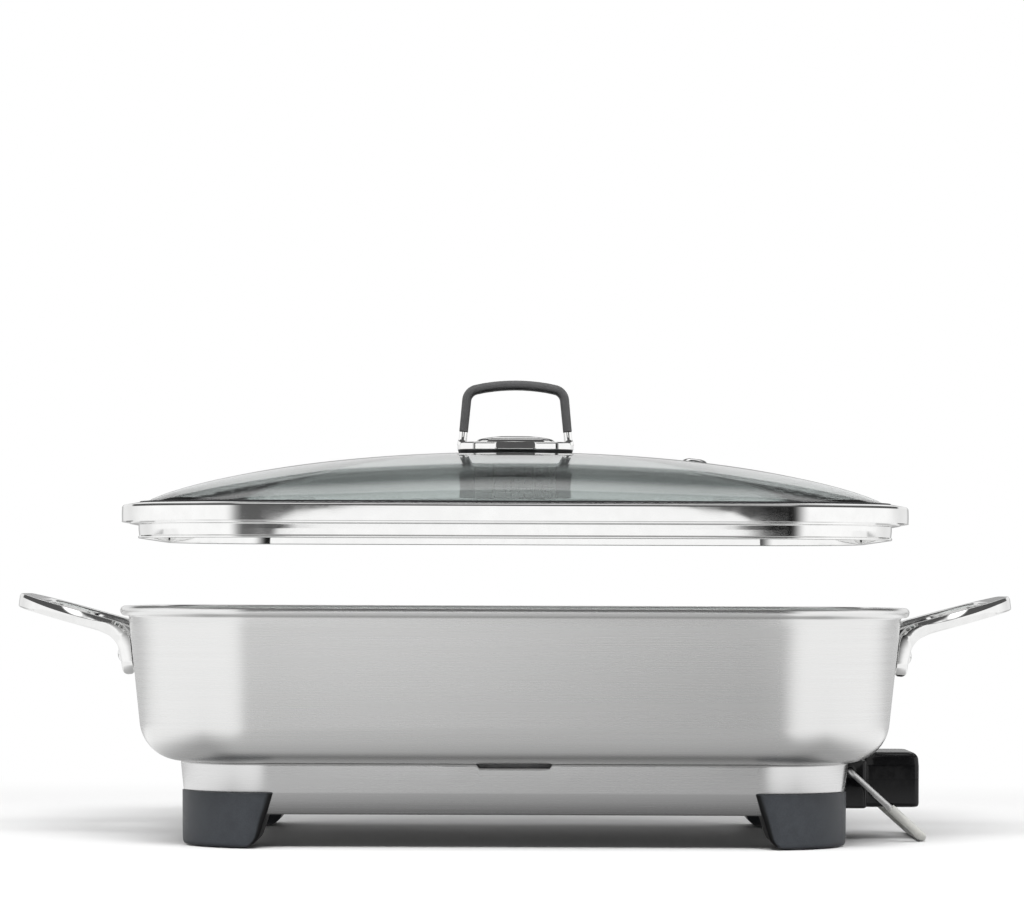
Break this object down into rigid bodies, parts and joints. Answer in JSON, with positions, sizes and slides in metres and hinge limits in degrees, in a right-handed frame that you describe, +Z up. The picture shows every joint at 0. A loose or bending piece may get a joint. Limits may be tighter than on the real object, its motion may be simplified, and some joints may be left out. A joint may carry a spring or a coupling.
{
  "type": "electric skillet",
  "caption": "Countertop electric skillet: rectangular steel pan on a skirted base with corner feet, loop handles, plug-in control probe, wire tilt leg and lift-off domed glass lid.",
  "frame": {"origin": "on the table, under the middle of the pan", "axes": "+Z up, +X along the pan towards the control probe, -Y to the front"},
  "size_m": [0.534, 0.316, 0.2469],
  "materials": {
    "brushed_steel": "brushed lengthways",
    "polished_steel": "polished",
    "cast_steel": "satin polish",
    "fastener_steel": "plain",
    "plate_aluminium": "cast",
    "element_sheath": "heat darkened",
    "contact_brass": "plain",
    "lid_glass": "tinted, clear",
    "grip_silicone": "matt",
    "black_rubber": "matt",
    "sleeve_rubber": "matt",
    "grey_plastic": "fine texture",
    "black_plastic": "gloss",
    "switch_body": "moulded",
    "amber_lens": "clear amber",
    "lamp_glass": "clear"
  },
  "bodies": {
    "skillet": {"pan_shell": "brushed_steel", "heat_plate": "plate_aluminium", "heating_element": "element_sheath", "terminal_pins": "contact_brass", "probe_guide_tube": "plate_aluminium", "base_skirt": "brushed_steel", "bottom_cover": "brushed_steel", "base_studs": "fastener_steel", "cover_screws": "fastener_steel", "socket_housing": "black_plastic", "socket_screws": "fastener_steel", "foot_front_left": "grey_plastic", "foot_front_right": "grey_plastic", "foot_rear_left": "grey_plastic", "foot_rear_right": "grey_plastic", "foot_pads": "black_rubber", "foot_screws": "fastener_steel", "foot_nuts": "fastener_steel", "handle_left": "cast_steel", "handle_right": "cast_steel", "handle_spacers": "fastener_steel", "handle_rivets": "cast_steel"},
    "lid": {"lid_rim": "polished_steel", "lid_glass": "lid_glass", "lid_seal": "black_rubber", "vent_eyelet": "polished_steel", "lid_handle_gasket": "black_rubber", "lid_handle_base": "polished_steel", "lid_handle_grip": "grip_silicone", "lid_handle_cap": "polished_steel", "lid_handle_plate": "polished_steel", "lid_handle_backing": "fastener_steel", "lid_handle_screws": "fastener_steel"},
    "control_probe": {"probe_shell_top": "black_plastic", "probe_shell_bottom": "black_plastic", "probe_nose": "black_plastic", "probe_rod": "fastener_steel", "probe_contacts": "contact_brass", "thermostat": "switch_body", "indicator_lens": "amber_lens", "neon_lamp": "lamp_glass", "cord_gland": "black_rubber", "probe_screws": "fastener_steel"},
    "temperature_dial": {"dial": "black_plastic", "dial_shaft": "fastener_steel"},
    "tilt_leg": {"tilt_leg_wire": "cast_steel", "tilt_leg_sleeve": "sleeve_rubber"}
  },
  "joints": [
    {"name": "lid_lift", "type": "slide", "parent": "skillet", "child": "lid", "axis": [0, 0, 1], "range_m": [-0.0421, 0.08]},
    {"name": "probe_pull", "type": "slide", "parent": "skillet", "child": "control_probe", "axis": [1, 0, 0], "range_m": [0, 0.075]},
    {"name": "dial_turn", "type": "hinge", "parent": "control_probe", "child": "temperature_dial", "pos_m": [0.2143, 0, 0.0324], "axis": [1, 0, 0], "range_deg": [0, 290]},
    {"name": "tilt_leg_swing", "type": "hinge", "parent": "skillet", "child": "tilt_leg", "pos_m": [0.1786, 0, 0.0375], "axis": [0, 1, 0], "range_deg": [-66, 48]}
  ]
}
